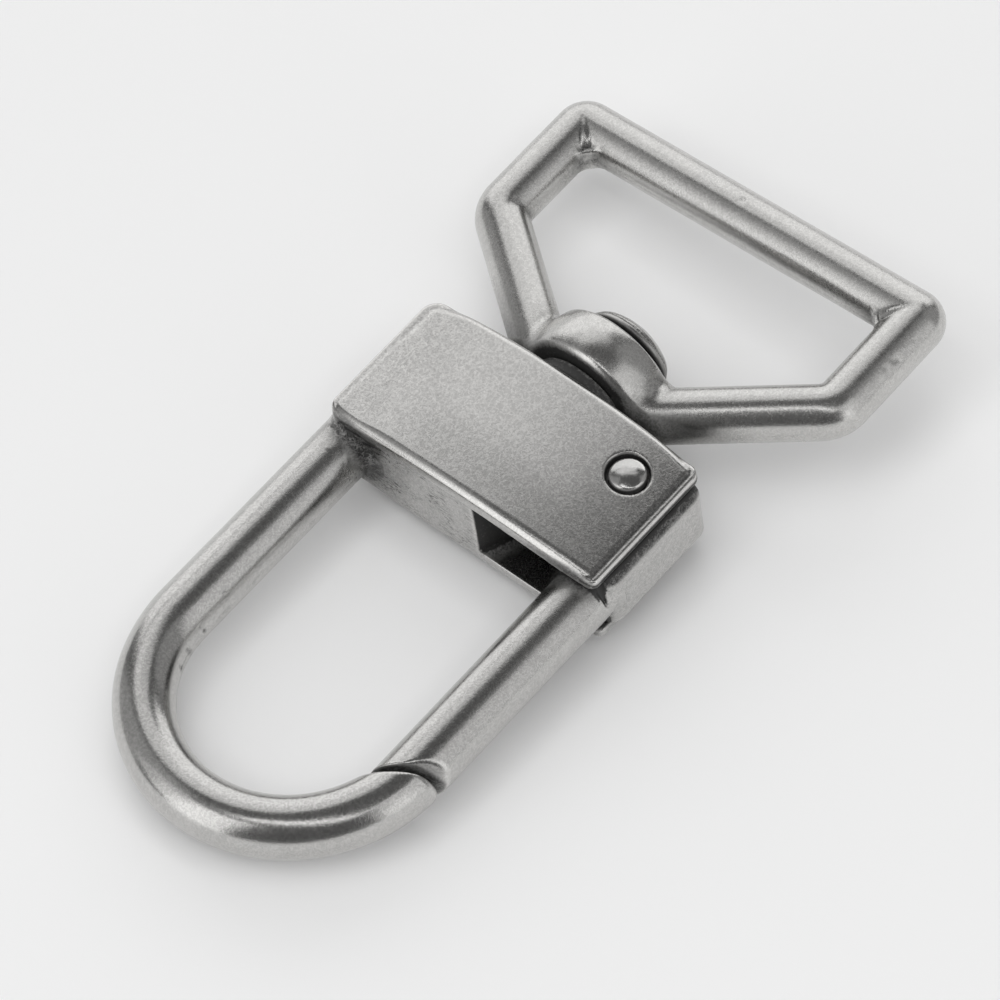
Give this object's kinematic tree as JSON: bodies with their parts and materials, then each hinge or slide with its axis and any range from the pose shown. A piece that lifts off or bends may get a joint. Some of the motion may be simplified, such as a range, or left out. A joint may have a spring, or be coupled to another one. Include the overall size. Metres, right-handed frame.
{
  "type": "swivel snap hook",
  "caption": "Snap hook with a flat housing, a J-shaped arm closed by a sprung gate, and a strap loop that turns on a post.",
  "frame": {"origin": "centre of the housing's flat rear face", "axes": "+X along the swivel axis towards the strap loop, +Y towards the arm, away from the gate, +Z out of the front plate"},
  "size_m": [0.059, 0.0324, 0.0096],
  "materials": {
    "casting": "satin antique-nickel plating on a zinc die casting",
    "gate_casting": "satin antique-nickel plating on a zinc die casting",
    "pin_steel": "satin",
    "spring_steel": "bright drawn wire",
    "post_steel": "satin",
    "loop_casting": "satin antique-nickel plating on a zinc die casting"
  },
  "bodies": {
    "hook": {"hook_body": "casting", "gate_pin": "pin_steel", "gate_spring": "spring_steel", "swivel_post": "post_steel"},
    "gate": {"gate": "gate_casting"},
    "loop": {"strap_loop": "loop_casting"}
  },
  "joints": [
    {"name": "gate_hinge", "type": "hinge", "parent": "hook", "child": "gate", "pos_m": [0.0022, -0.00788, 0.0034], "axis": [0, 0, -1], "range_deg": [0, 32], "stiffness_Nm_per_rad": 0.036, "springref_deg": -48.7, "deforming": ["gate_spring"]},
    {"name": "swivel", "type": "hinge", "parent": "hook", "child": "loop", "pos_m": [0, 0, 0.0034], "axis": [1, 0, 0], "continuous": true}
  ]
}
